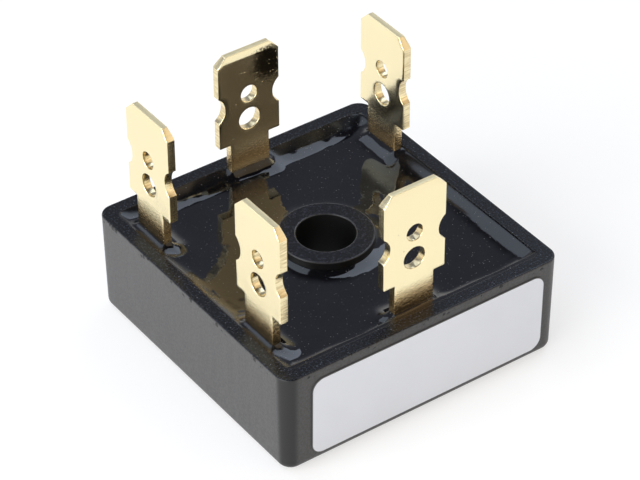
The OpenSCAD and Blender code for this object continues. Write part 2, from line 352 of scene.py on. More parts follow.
@dataclass(frozen=True)
class MouldedPlastic:
    """Black filled plastic: a finer rim and streaked sides; on the case its rim is painted far
    darker and its sides paler, painted shade and painted light on one plastic.
    """

    name: str
    side: Colour
    rim: Colour
    rim_z: float
    side_roughness: float = 0.42
    rim_roughness: float = 0.27
    sparkle: float = 0.5
    # painted shade on the front upright corner: how far out from the middle it starts
    shaded_corner_from: float = 100.0
    edge_at: float = 100.0
    inner_to: float = 0.0
    pale_side: float = 1.45
    # painted shade: how much darker the front upright corner is painted
    corner_shade: float = 0.3
    pale_rim: float = 9.0
    # painted shade in pits and chips: the share of the rim colour that they keep
    hollow_shade: float = 0.2
    # painted reflection of the floor: the pale colour along the bottom of the foot
    floor_reflection_paint: Colour = (0.20, 0.195, 0.18)
    fleck: Colour = (0.13, 0.14, 0.17)
    # wear and painted highlight: the paler colour of the marked edges
    wear_and_highlight: Colour = (0.10, 0.10, 0.11)
    # painted reflection: the heights over which the foot's pale band fades out
    reflected_band: Pair = (0.20, 0.42)
    smooth_foot: Pair = (0.25, 0.70)
    pits: Scatter = (0.75, 0.08, 0.35)
    chips: Scatter = (0.55, 0.22, 0.5)
    flecks: Scatter = (0.27, 0.06, 0.35)
    depth: float = 0.003

    def build(self, effects: Effects) -> Material:
        """Makes the material."""
        s = Surface(self.name, effects)
        out = s.out_from_middle()
        inner = s.ramp(out, self.inner_to, self.inner_to + 0.1, 1.0, 0.0)
        on_rim = s.peak(s.ramp(s.z, self.rim_z - 0.10, self.rim_z - 0.01), inner)
        nearest = s.peak(s.x, s.y)
        # painted shade: 1 at the front upright corner, whose side colour is painted darker
        corner = s.ramp(nearest, -0.5 - self.shaded_corner_from, 0.1 - self.shaded_corner_from, 1.0, 0.0)
        edge = s.ramp(out, self.edge_at - 0.30, self.edge_at - 0.12)
        edge = edge * s.ramp(s.z, self.rim_z - 0.60, self.rim_z - 0.30)
        fine, coarse = s.grain(0.09, 3.5)[0], s.grain(0.20, 2.0)[0]

        tone = s.ramp(s.streaks(0.35, 9.0) * 0.15 + coarse * 0.85, 0.36, 0.64)
        side = s.mix(tone, self.side, scaled(self.side, self.pale_side))
        side = s.mix(corner, side, scaled(self.side, self.corner_shade))
        # painted reflection: the bottom of the foot is painted pale, as the floor shows in its
        # rounding
        side = s.mix(s.ramp(s.z, *self.reflected_band, 0.85, 0.0), side, self.floor_reflection_paint)
        rim = s.mix(s.ramp(coarse, 0.50, 0.62), self.rim, scaled(self.rim, self.pale_rim))
        rim = s.mix(s.specks(self.flecks) * self.sparkle, rim, self.fleck)
        # the edges marked worn are painted paler: part wear, part painted highlight
        whole = s.mix(s.attribute("worn") * 0.3, s.mix(on_rim, side, rim), self.wear_and_highlight)
        # painted shade: the pits and chips below take a much darker copy of the rim colour
        pits, chipped = s.specks(self.pits), s.specks(self.chips) * edge
        hollow = s.peak(pits * on_rim, chipped)

        roughness = s.ramp(on_rim, 0.0, 1.0, self.side_roughness, self.rim_roughness)
        return s.finish(
            s.mix(hollow, whole, scaled(self.rim, self.hollow_shade)),
            roughness - s.ramp(s.z, *self.smooth_foot, 0.22, 0.0),
            fine - s.peak(pits, chipped * 4.0) * 2.0,
            self.depth,
            IOR=1.55,
            Specular_IOR_Level=0.35,
        )


@dataclass(frozen=True)
class PottingResin:
    """Glossy cast resin with settled dust, less smooth where it wets the walls."""

    name: str
    colour: Colour = (0.003, 0.003, 0.004)
    haze: Colour = (0.005, 0.005, 0.006)
    dust: Colour = (0.27, 0.26, 0.26)
    lumps: Scatter = (1.5, 0.05, 0.3)
    fines: Scatter = (0.29, 0.045, 0.8)
    roughness: float = 0.035
    wall: Pair = (11.5, 12.5)
    wall_roughness: float = 0.16
    depth: float = 0.008

    def build(self, effects: Effects) -> Material:
        """Makes the material."""
        s = Surface(self.name, effects)
        tone = s.grain(0.35, 3.0)[1]
        settled = s.peak(s.specks(self.lumps), s.specks(self.fines) * 0.35)
        wetted = s.ramp(s.out_from_middle(), *self.wall, 0.0, self.wall_roughness)
        return s.finish(
            s.mix(settled, s.mix(tone, self.colour, self.haze), self.dust),
            wetted + s.ramp(tone, 0.0, 1.0, self.roughness, self.roughness + 0.02),
            tone * 1.8 + settled * 0.8,
            self.depth,
            IOR=1.55,
        )


@dataclass(frozen=True)
class GoldPlate:
    """Bright gold-coloured plating over stamped brass, stained low on the necks.

    One blade's upper corner is tarnished, with bright pin-holes, on its inner face.
    """

    name: str
    colour: Colour = (0.96, 0.84, 0.53)
    worn: Colour = (0.50, 0.36, 0.18)
    stained: Colour = (0.70, 0.48, 0.22)
    tarnish: Colour = (0.030, 0.024, 0.014)
    tarnish_at: Point = (2.75, 12.0, 20.2)
    tarnish_reach: Pair = (2.7, 3.9)
    stain: Pair = (10.9, 12.6)
    mottled: Pair = (11.4, 13.6)
    swollen: Pair = (9.4, 14.0)
    top: float = 22.1
    clipped: float = 1.05
    spots: Scatter = (1.9, 0.12, 0.25)
    pits: Scatter = (0.5, 0.06, 0.5)
    pins: Scatter = (0.36, 0.085, 0.7)
    roughness: float = 0.15
    swell: float = 0.2
    depth: float = 0.02

    def _tarnished(self, s: Surface, grain: Wire) -> Wire:
        """The mask of the tarnish, with its ragged edge."""
        inputs = {0: s.place, 1: self.tarnish_at}
        away = s.add("VectorMath", inputs, operation="DISTANCE")["Value"]
        face = self.tarnish_at[1]
        inner_face = s.ramp(s.y, face + 0.03, face + 0.08, 1.0, 0.0)
        return s.ramp(grain * 3.0 + away, *self.tarnish_reach, 0.93, 0.0) * inner_face

    def build(self, effects: Effects) -> Material:
        """Makes the material."""
        s = Surface(self.name, effects)
        grain, tone = s.grain(0.25, 2.0)
        streaks, sheared = s.streaks(1.4, 0.16), s.attribute("sheared")
        tarnished = self._tarnished(s, grain)
        pinned = tarnished * s.specks(self.pins)

        striped = sheared * s.ramp(streaks, 0.35, 0.65, 0.6, 0.1)
        corner = self.top - self.clipped
        striped = striped * s.ramp(s.z, corner, corner + 0.15, 1.0, 0.1)
        faded = s.peak(s.specks(self.spots) * 0.35, striped)
        plated = s.mix(s.ramp(s.z, *self.stain, 0.85, 0.0), self.colour, self.stained)
        crest = s.ramp(s.z, self.top - 0.10, self.top - 0.04)
        smooth = s.ramp(tone, 0.0, 1.0, self.roughness, self.roughness + 0.05)

        mottle = s.grain(0.16, 0.5)[0] * s.ramp(s.z, *self.mottled, 1.0, 0.0)
        pitted = s.specks(self.pits) * s.ramp(s.grain(2.2, 2.6)[0], 0.56, 0.66)
        relief = grain * 0.12 + streaks * sheared * 0.5 - pitted + mottle * 2.2
        relief = relief + s.ramp(s.z, *self.swollen, self.swell / self.depth, 0.0)
        return s.finish(
            s.mix(tarnished - pinned, s.mix(faded, plated, self.worn), self.tarnish),
            smooth + crest * 0.22 + sheared * 0.07,
            relief - pinned * 4.0,
            self.depth,
            Metallic=1.0,
        )


@dataclass(frozen=True)
class LabelFilm:
    """Blank satin silver film, darker in a thin line along its cut edge."""

    name: str
    colour: Colour = (0.92, 0.94, 1.0)
    dark_edge: Colour = (0.10, 0.10, 0.10)
    dust: Colour = (0.3, 0.3, 0.31)
    dust_grains: Scatter = (1.6, 0.05, 0.15)
    roughness: float = 0.38
    depth: float = 0.004

    def build(self, effects: Effects) -> Material:
        """Makes the material."""
        s = Surface(self.name, effects)
        grain, tone = s.grain(0.3, 6.0)
        field = s.mix(tone, scaled(self.colour, 0.97), self.colour)
        edged = s.mix(s.attribute("border"), field, self.dark_edge)
        return s.finish(
            s.mix(s.specks(self.dust_grains) * 0.4, edged, self.dust),
            s.ramp(tone, 0.0, 1.0, self.roughness, self.roughness + 0.06),
            grain,
            self.depth,
            Metallic=0.3,
            IOR=1.45,
        )


@dataclass(frozen=True)
class SheetMetal:
    """Rolled or drawn bare metal."""

    name: str
    colour: Colour
    stain: Colour
    roughness: float = 0.34
    depth: float = 0.006

    def build(self, effects: Effects) -> Material:
        """Makes the material."""
        s = Surface(self.name, effects)
        turned = s.add("Mapping", {"Vector": s.place, "Rotation": (0.0, QUARTER, 0.0)})
        rolled = s.streaks(0.08, 6.0, Vector=turned[0])
        return s.finish(
            s.mix(s.grain(0.12, 4.0)[1] * 0.5, self.colour, self.stain),
            s.ramp(rolled, 0.3, 0.7, self.roughness, self.roughness + 0.14),
            rolled,
            self.depth,
            Metallic=1.0,
        )


@dataclass(frozen=True)
class FiredBody:
    """Ceramic, silicon or torn plastic: a dense, slightly mottled body."""

    name: str
    colour: Colour
    shade: Colour
    roughness: float
    depth: float = 0.003

    def build(self, effects: Effects) -> Material:
        """Makes the material."""
        s = Surface(self.name, effects)
        grain, tone = s.grain(0.08, 2.0)
        return s.finish(
            s.mix(tone, self.colour, self.shade),
            s.ramp(grain, 0.3, 0.7, self.roughness, self.roughness + 0.1),
            grain,
            self.depth,
        )


# MESHES


def quarter_round(radius: float, steps: int) -> list[Pair]:
    """A rounded edge's distances in from the side and down from the top, side first."""
    angles = np.linspace(0.0, QUARTER, steps + 1)
    return [(radius * (1 - math.cos(a)), radius * (1 - math.sin(a))) for a in angles]


def circle(radius: float, count: int) -> Array:
    """A circle about the origin, counter-clockwise."""
    angles = np.linspace(0.0, 2 * math.pi, count, endpoint=False)
    return np.column_stack([radius * np.cos(angles), radius * np.sin(angles)])


def lifted(flat: Array, z: float) -> Array:
    """Flat points at a height."""
    return np.column_stack([flat, np.full(len(flat), z)])


def rounded_loop(
    half: Sequence[float], radius: float, z: float, arc: int = 12, side: int = 20
) -> Array:
    """A rounded rectangle seen from above, counter-clockwise.

    Args:
        half: Half of its width and depth.
        radius: The radius of its corners.
        z: Its height.
        arc: Steps round each corner.
        side: Steps along each side.

    Returns:
        The points, one row each.
    """
    corners = []
    for quarter, sign in enumerate(((1, 1), (-1, 1), (-1, -1), (1, -1))):
        angles = quarter * QUARTER + np.linspace(0.0, QUARTER, arc + 1)
        x = sign[0] * (half[0] - radius) + radius * np.cos(angles)
        y = sign[1] * (half[1] - radius) + radius * np.sin(angles)
        corners.append(np.column_stack([x, y]))
    rows = []
    for corner, following in zip(corners, corners[1:] + corners[:1]):
        steps = np.linspace(0.0, 1.0, side + 1)[1:-1, None]
        rows += [corner, corner[-1] + (following[0] - corner[-1]) * steps]
    return lifted(np.vstack(rows), z)


def even_steps(corners: Array, pitch: float, least: int = 1) -> Array:
    """Points about a pitch apart along a closed outline's straight edges."""
    rows = []
    for start, end in zip(corners, np.roll(corners, -1, axis=0)):
        steps = max(least, round(float(np.linalg.norm(end - start)) / pitch))
        rows.append(start + (end - start) * np.linspace(0.0, 1.0, steps, endpoint=False)[:, None])
    return np.vstack(rows)


def numbered(lines: Sequence[Array]) -> list[Array]:
    """The vertex numbers of each line when all are stacked."""
    ends = np.cumsum([0] + [len(line) for line in lines])
    return [np.arange(start, end) for start, end in zip(ends, ends[1:])]


def ring_faces(first: Array, second: Array) -> list[Face]:
    """Quads between two closed rows of vertex numbers."""
    ahead = (np.roll(first, -1), np.roll(second, -1))
    return [tuple(row) for row in np.column_stack([first, *ahead, second]).tolist()]


def loft(loops: Sequence[Array], closed: bool = True) -> tuple[Array, list[Face]]:
    """Joins loops of equal length with faces.

    Args:
        loops: The loops.
        closed: Whether the last is joined to the first, and not capped as the first is.

    Returns:
        The points and the faces.
    """
    rows = numbered(loops)
    faces: list[Face] = []
    for first, second in zip(rows, rows[1:] + rows[: int(closed)]):
        faces += ring_faces(first, second)
    if not closed:
        faces += [tuple(rows[0][::-1].tolist()), tuple(rows[-1].tolist())]
    return np.vstack(loops), faces


def add_to_scene(name: str, data: Any) -> Object:
    """Puts a mesh, a lamp or a camera in the scene as an object."""
    item = bpy.data.objects.new(name, data)
    bpy.context.scene.collection.objects.link(item)
    return item


def make_piece(name: str, points: Array, faces: Sequence[Face], sharp: float = 40.0) -> Object:
    """Makes a closed, smooth-shaded piece at the origin.

    Args:
        name: The piece's name.
        points: Its vertices, in millimetres.
        faces: Its faces, as rows of vertex numbers.
        sharp: Edges that turn by more degrees than this stay sharp.

    Returns:
        The new object.
    """
    mesh = bpy.data.meshes.new(name)
    mesh.from_pydata((np.asarray(points) * MM).tolist(), [], [list(f) for f in faces])
    work = bmesh.new()
    work.from_mesh(mesh)
    bmesh.ops.remove_doubles(work, verts=work.verts, dist=1e-4 * MM)
    bmesh.ops.recalc_face_normals(work, faces=work.faces)
    work.to_mesh(mesh)
    work.free()
    mesh.polygons.foreach_set("use_smooth", [True] * len(mesh.polygons))
    mesh.set_sharp_from_angle(angle=math.radians(sharp))
    return add_to_scene(name, mesh)


def mark(piece: Object, name: str, chosen: Callable[[Any], bool]) -> None:
    """Gives a piece a mask that is 1 at the vertices that are chosen."""
    mask = piece.data.attributes.new(name, "FLOAT", "POINT")
    mask.data.foreach_set("value", [float(chosen(v)) for v in piece.data.vertices])


def inside(places: Array, outline: Array) -> Array:
    """Which places lie inside a closed outline."""
    result = np.zeros(len(places), bool)
    for start, end in zip(outline, np.roll(outline, -1, axis=0)):
        spans = (start[1] > places[:, 1]) != (end[1] > places[:, 1])
        if spans.any():
            share = (places[:, 1] - start[1]) / (end[1] - start[1])
            result ^= spans & (places[:, 0] < start[0] + share * (end[0] - start[0]))
    return result


def triangulate(lines: Sequence[Array], loose: Array | None = None) -> tuple[Array, list[Face]]:
    """Fills an outline that may have holes with triangles.

    Args:
        lines: The flat outlines; the first is the outer one.
        loose: More points to use inside.

    Returns:
        All points and the triangles.
    """
    every = np.vstack(lines if loose is None else [*lines, loose])
    edges = [(int(row[i - 1]), int(row[i])) for row in numbered(lines) for i in range(len(row))]
    found = delaunay_2d_cdt([Vector(p) for p in every.tolist()], edges, [], 1, 1e-7)
    back = np.array([source[0] if source else -1 for source in found[3]])
    if back.min() < 0 or len(found[0]) != len(every):
        raise ValueError("an outline crosses itself or repeats a point")
    triangles = back[np.array(found[2])]
    centres = every[triangles].mean(axis=1)
    kept = np.ones(len(centres), bool)
    for hole in lines[1:]:
        kept &= ~inside(centres, hole)
    return every, [tuple(t) for t in triangles[kept].tolist()]


def offset_inwards(outline: Array, distance: float, hole: bool = False) -> Array:
    """Moves a counter-clockwise outline inwards, or a hole's outline outwards."""
    ahead = np.roll(outline, -1, axis=0) - outline
    ahead /= np.linalg.norm(ahead, axis=1)[:, None]
    normals = [np.column_stack([-d[:, 1], d[:, 0]]) for d in (ahead, np.roll(ahead, 1, axis=0))]
    middle = normals[0] + normals[1]
    middle /= np.linalg.norm(middle, axis=1)[:, None]
    stretch = np.clip(np.einsum("ij,ij->i", middle, normals[0]), 0.5, 1.0)
    return outline + (-1 if hole else 1) * distance * middle / stretch[:, None]


# PIECES


@dataclass
class Box:
    """A solid's box in millimetres."""

    low: Array
    high: Array

    @classmethod
    def of(cls, node: str) -> "Box":
        """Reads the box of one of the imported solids."""
        low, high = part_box(node)
        return cls(np.array(low) / MM, np.array(high) / MM)

    @property
    def middle(self) -> Array:
        """The box's centre."""
        return (self.low + self.high) / 2

    @property
    def half(self) -> float:
        """Half of its width, about the screw's axis."""
        return float(self.high[0])

    @property
    def foot(self) -> float:
        """Its lower end."""
        return float(self.low[2])

    @property
    def top(self) -> float:
        """Its upper end."""
        return float(self.high[2])


def dress(piece: Object, material: Material, slot: Slot, *nodes: str) -> None:
    """Gives a piece its material and its body, and hides the solids that it stands for.

    Args:
        piece: The finished piece.
        material: Its material.
        slot: The record's slot; not used.
        *nodes: The solids that it stands for.
    """
    piece.data.materials.clear()
    piece.data.materials.append(material)
    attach(piece, BODY)
    if nodes:
        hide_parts(*nodes)
    solids = ", ".join(nodes) or "nothing"
    LOG.info("%s: %d faces, stands for %s", piece.name, len(piece.data.polygons), solids)


@dataclass
class MouldedCase:
    """The square case: a drafted shell with a rounded foot, rim and base rebate."""

    box: Box
    cavity_half: float
    corner_r: float = 1.4
    inner_r: float = 0.7
    draft: float = 0.15
    foot_r: float = 0.8
    rim_r: float = 0.14
    lip_r: float = 0.1
    plate_z: float = 2.0
    plate_half: float = 12.75
    plate_r: float = 1.05
    lip_t: float = 0.6
    lip_w: float = 0.8
    least_r: float = 0.3
    rebate_edge: Pair = (0.08, 0.12)
    flat: float = 0.08
    lip_flat: float = 0.06
    band: float = 0.1

    def side(self, z: float) -> float:
        """Half of the width at a height, on the drafted sides."""
        return self.box.half - self.draft * (1 - z / self.box.top)

    def section(self) -> list[tuple[float, float, float]]:
        """The wall's section, from the rebate round the foot and over the rim.

        Returns:
            Half width, corner radius and height of each loop.
        """
        foot, top = self.box.foot, self.box.top
        post = self.box.half - self.corner_r
        rows = [
            (self.plate_half, self.plate_r, self.plate_z),
            (self.plate_half, self.plate_r, foot + self.rebate_edge[1]),
            (self.plate_half + self.rebate_edge[0], self.plate_r + self.rebate_edge[0], foot),
        ]
        widest = self.side(foot + self.foot_r)
        for up, back in quarter_round(self.foot_r, 8):
            rows.append((widest - back, max(widest - back - post, self.least_r), foot + up))
        for z in (foot + self.foot_r + self.band, top / 2, top - self.rim_r - self.band):
            rows.append((self.side(z), self.side(z) - post, z))
        for back, down in quarter_round(self.rim_r, 5):
            rows.append((self.box.half - back, self.corner_r - back, top - down))
        rows.append((rows[-1][0] - self.flat, rows[-1][1] - self.flat, top))
        lip = [(self.lip_r + self.lip_flat, 0.0)]
        lip += [(out, down) for down, out in quarter_round(self.lip_r, 4)]
        rows += [(self.cavity_half + out, self.inner_r + out, top - down) for out, down in lip]
        ledge, narrow = self.plate_z + self.lip_t, self.cavity_half - self.lip_w
        ends = ((self.cavity_half, ledge), (narrow, ledge), (narrow, self.plate_z))
        return rows + [(half, self.inner_r, z) for half, z in ends]

    def build(self, plastic: Material) -> None:
        """Makes the case in its plastic."""
        loops = [rounded_loop((h, h), r, z, side=24) for h, r, z in self.section()]
        dress(make_piece("moulded_case", *loft(loops)), plastic, Slot.CASE, "case")


@dataclass
class CentreBushing:
    """The bushing that carries the screw's load."""

    box: Box
    bore_r: float
    edge_r: float = 0.13
    flat: float = 0.08
    band: float = 0.1
    # vertices this close to an edge line are left out of the paler wear and painted highlight
    unmarked: float = 0.02
    count: int = 128

    def on_edge(self, vertex: Any) -> bool:
        """Whether a vertex lies on one of the rounded edges."""
        radius = math.hypot(vertex.co.x, vertex.co.y) / MM
        past, from_edge = radius - self.bore_r, self.box.half - radius
        return any(self.unmarked < depth < self.edge_r for depth in (past, from_edge))

    def build(self, plastic: Material) -> None:
        """Makes the bushing in its plastic."""
        low, top, outer = self.box.foot, self.box.top, self.box.half
        bore, e, edge = self.bore_r, self.edge_r, quarter_round(self.edge_r, 5)
        profile = [(outer, low), (outer, top - e - self.band)]
        profile += [(outer - back, top - down) for back, down in edge]
        profile += [(outer - e - self.flat, top), (bore + e + self.flat, top)]
        profile += [(bore + out, top - down) for down, out in edge]
        profile += [(bore, top - e - self.band), (bore, low)]
        points, faces = loft([lifted(circle(r, self.count), z) for r, z in profile])
        piece = make_piece("centre_bushing", points, faces)
        # the rounded edges are painted paler: part wear, part painted highlight
        mark(piece, "worn", self.on_edge)
        dress(piece, plastic, Slot.BUSHING, "bushing")


@dataclass
class TerminalPlace:
    """Where one terminal stands, read from its solid."""

    node: str
    turn: float
    along: float
    out: float
    foot_length: float
    foot_z: float
    top: float

    @classmethod
    def of(cls, node: str) -> "TerminalPlace":
        """Works out a terminal's wall, place and lengths from its solid's box."""
        box = Box.of(node)
        axis = 0 if abs(box.middle[0]) > abs(box.middle[1]) else 1
        positive = box.middle[axis] > 0
        turns = {(1, True): 0.0, (0, False): QUARTER, (1, False): math.pi, (0, True): -QUARTER}
        turn = turns[(axis, bool(positive))]
        out = float(box.high[axis] if positive else -box.low[axis])
        reach = float(box.high[axis] - box.low[axis])
        across = Matrix.Rotation(-turn, 3, "Z") @ Vector(box.middle)
        return cls(node, turn, float(across.x), out, reach, box.foot, box.top)


# what the tree that forms a terminal takes: lengths, then an angle
SIZES = ("Top", "Thickness", "Lead-in height", "Lead-in thickness", "Foot height")
SIZES += ("Bend radius", "Along", "Out", "Turn")


@dataclass
class BladeTerminals:
    """The five stamped terminals, coined, bent and set in place by one node tree."""

    places: list[TerminalPlace]
    width: float = 6.3
    thickness: float = 0.8
    blade_length: float = 9.3
    neck_width: float = 4.0
    neck_clip: float = 0.06
    shoulder_clip: float = 0.05
    corner_width: float = 0.9
    corner_height: float = 0.9
    lead_height: float = 0.65
    lead_thickness: float = 0.55
    notch_drop: float = 5.3
    notch_height: float = 2.55
    notch_depth: float = 0.68
    upper_hole: Pair = (4.55, 1.65)
    lower_hole: Pair = (7.15, 2.15)
    bend_radius: float = 0.4
    edge_r: float = 0.06
    pitch: float = 0.22
    clear: float = 0.25
    sheared_dot: float = 0.35
    sheared_from: float = 8.0

    def notch_curve(self, steps: int = 14) -> Array:
        """The right-hand notch's arc, from its lower end to its upper end."""
        half_height = self.notch_height / 2
        radius = (half_height**2 + self.notch_depth**2) / (2 * self.notch_depth)
        reach = math.asin(half_height / radius)
        angles = np.linspace(-reach, reach, steps + 1)
        x = self.width / 2 + radius - self.notch_depth - radius * np.cos(angles)
        return np.column_stack([x, -self.notch_drop + radius * np.sin(angles)])

    def outline(self, bottom: float) -> Array:
        """The blank's whole outline, counter-clockwise, in even steps."""
        half, neck, shoulder = self.width / 2, self.neck_width / 2, -self.blade_length
        in_corner, clip = self.neck_clip, self.shoulder_clip
        foot = [[neck, bottom], [neck, shoulder - in_corner], [neck + in_corner, shoulder]]
        shoulders = [[half - clip, shoulder], [half, shoulder + clip]]
        corner = [[half, -self.corner_height], [half - self.corner_width, 0.0]]
        right = np.vstack([foot, shoulders, self.notch_curve(), corner])
        return even_steps(np.vstack([right, right[::-1] * [-1, 1]]), self.pitch)

    def blank(self, bottom: float) -> tuple[Array, list[Face]]:
        """The flat blank with slightly rounded edges, its top at height 0.

        Args:
            bottom: Height of the strip's end.

        Returns:
            Its points and faces.
        """
        holes = [circle(d / 2, 40) - [0.0, drop] for drop, d in (self.upper_hole, self.lower_hole)]
        outlines = list(zip((self.outline(bottom), *holes), (False, True, True)))
        inset = [offset_inwards(line, self.edge_r, hole) for line, hole in outlines]
        flat, front = triangulate(inset, self._inner_points(bottom))
        count = len(flat)
        points = [np.insert(flat, 1, y, axis=1) for y in (0.0, -self.thickness)]
        faces = front + [(a + count, c + count, b + count) for a, b, c in front]
        used = 2 * count
        depths = [(back, down) for down, back in quarter_round(self.edge_r, 3)[1:]]
        depths += [(back, self.thickness - down) for back, down in reversed(depths)]
        for loop, (line, hole) in zip(numbered(inset), outlines):
            previous = loop
            for distance, y in depths:
                points.append(np.insert(offset_inwards(line, distance, hole), 1, -y, axis=1))
                row = np.arange(used, used + len(line))
                faces += ring_faces(previous, row)
                previous, used = row, used + len(line)
            faces += ring_faces(previous, loop + count)
        return np.vstack(points), faces

    def _inner_points(self, bottom: float) -> Array:
        """A grid of points inside the blank, clear of its edges and holes."""
        edge = self.width / 2
        xs = np.arange(-edge + 0.3, edge - 0.2, 2 * self.pitch)
        zs = np.arange(bottom + 0.2, -0.15, self.pitch)
        crease = -self.lead_height
        zs = np.sort(np.append(zs[np.abs(zs - crease) > 0.12], [crease - 0.02, crease + 0.02]))
        grid = np.array([(x, z) for z in zs for x in xs])
        x, z = grid.T
        half = np.where(z < -self.blade_length + 0.2, self.neck_width / 2, edge) - self.clear
        near_notch = np.abs(z + self.notch_drop) < self.notch_height / 2
        half = half - np.where(near_notch, self.notch_depth, 0.0)
        slope = edge - self.clear - self.corner_width * (1 + z / self.corner_height)
        half = np.where(z < -self.corner_height, half, np.minimum(half, slope))
        keep = np.abs(x) < half
        for drop, diameter in (self.upper_hole, self.lower_hole):
            keep &= np.hypot(x, z + drop) > diameter / 2 + 0.2
        return grid[keep]

    def tree(self) -> NodeTree:
        """Builds the tree that coins the lead-in, bends the foot and sets the terminal."""
        inputs = {"Blank": "Geometry", **dict.fromkeys(SIZES, "Float"), "Plating": "Material"}
        g, given = node_group("Geometry", "form_terminal", inputs, {"Terminal": "Geometry"})
        at = g.add("SeparateXYZ", {0: g.add("GeometryNodeInputPosition")[0]})
        thickness = given["Thickness"]
        # coining: both faces close in above the crease
        share = g.math("ADD", 1.0, at["Z"] / given["Lead-in height"], clamp=True)
        squeeze = 1.0 - share * (1.0 - given["Lead-in thickness"] / thickness)
        middle = thickness * -0.5
        depth = (at["Y"] - middle) * squeeze + middle
        # bending: the strip below the bend line rolls round its centre, then runs level
        inner = thickness + given["Bend radius"]
        start = given["Foot height"] + inner
        height = at["Z"] + given["Top"]
        below = g.peak(start - height, 0.0)
        neutral = thickness * 0.5 + given["Bend radius"]
        angle = g.math("MINIMUM", below / neutral, QUARTER)
        level = below - angle * neutral
        radius = inner + depth
        bent_y = radius * g.math("COSINE", angle) - inner - level
        bent_z = start - radius * g.math("SINE", angle) + g.peak(height - start, 0.0)
        formed = g.add("CombineXYZ", {0: at["X"], 1: bent_y, 2: bent_z})
        shape = {"Geometry": given["Blank"], "Position": formed[0]}
        moved = g.add("GeometryNodeSetPosition", shape)
        shift = g.add("CombineXYZ", {0: given["Along"], 1: given["Out"]})
        turn = g.add("CombineXYZ", {2: given["Turn"]})
        for key, vector in (("Translation", shift), ("Rotation", turn)):
            moved = g.add("GeometryNodeTransform", {"Geometry": moved[0], key: vector[0]})
        return close_tree(g, moved[0], given["Plating"])

    def build(self, plating: Material) -> None:
        """Makes the five terminals in their plating."""
        tree = self.tree()
        thick, radius = self.thickness, self.bend_radius
        bend, neutral = thick + radius, radius + thick / 2
        for place in self.places:
            tail = place.foot_length - bend + neutral * QUARTER
            points, faces = self.blank(place.foot_z + bend - place.top - tail)
            piece = make_piece("blade_" + place.node, points, faces)
            lead = (self.lead_height, self.lead_thickness)
            lengths = (place.top, thick, *lead, place.foot_z, radius, place.along, place.out)
            values = dict(zip(SIZES, [*(v * MM for v in lengths), place.turn]))
            bake_nodes(piece, tree, {**values, "Plating": plating})
            outward = Matrix.Rotation(place.turn, 3, "Z") @ Vector((0, 1, 0))
            mark(piece, "sheared", lambda v: self.is_sheared(v, outward))
            dress(piece, plating, Slot.GOLD, place.node)

    def is_sheared(self, vertex: Any, outward: Vector) -> bool:
        """Whether a vertex lies on a cut edge, whose normals lie across the strip."""
        across = abs(vertex.normal.dot(outward)) < self.sheared_dot
        return across and vertex.co.z > self.sheared_from * MM


def close_tree(g: Graph, geometry: Wire, material: Wire) -> NodeTree:
    """Ends a geometry tree with real meshes in a material, and returns it."""
    solid = g.add("GeometryNodeRealizeInstances", {0: geometry})
    inputs = {"Geometry": solid[0], "Material": material}
    g.add("NodeGroupOutput", {0: g.add("GeometryNodeSetMaterial", inputs)[0]})
    return g.tree


def bake_nodes(piece: Object, tree: NodeTree, values: dict[str, Any]) -> None:
    """Runs a node tree on a piece and keeps the result as its plain mesh.

    Args:
        piece: The object to work on.
        tree: The geometry node tree.
        values: The tree's inputs by name.
    """
    modifier = piece.modifiers.new("form", "NODES")
    modifier.node_group = tree
    for item in tree.interface.items_tree:
        if item.in_out == "INPUT" and item.name in values:
            modifier[item.identifier] = values[item.name]
    depsgraph = bpy.context.evaluated_depsgraph_get()
    baked = bpy.data.meshes.new_from_object(piece.evaluated_get(depsgraph))
    piece.modifiers.clear()
    piece.data = baked


